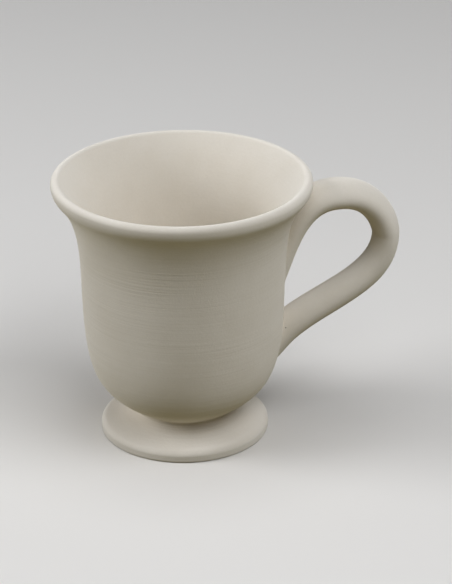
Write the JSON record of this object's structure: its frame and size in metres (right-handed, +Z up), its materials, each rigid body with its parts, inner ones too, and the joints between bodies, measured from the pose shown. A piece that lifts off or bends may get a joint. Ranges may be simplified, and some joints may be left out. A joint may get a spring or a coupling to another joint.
{
  "type": "mug",
  "caption": "Unglazed footed mug: a bell-shaped bowl with a flared rounded rim, a low hollow foot and a pulled loop handle.",
  "frame": {"origin": "the point on the table under the middle of the bowl", "axes": "+Z up along the bowl's axis, +X out through the handle, +Y to the left of the handle"},
  "size_m": [0.1386, 0.102, 0.1083],
  "materials": {
    "bisque": "matte unglazed",
    "slip": "matte unglazed"
  },
  "bodies": {
    "root": {"bowl": "bisque", "foot": "bisque", "handle": "bisque", "foot_slip": "slip", "upper_handle_slip": "slip", "lower_handle_slip": "slip"}
  },
  "joints": []
}
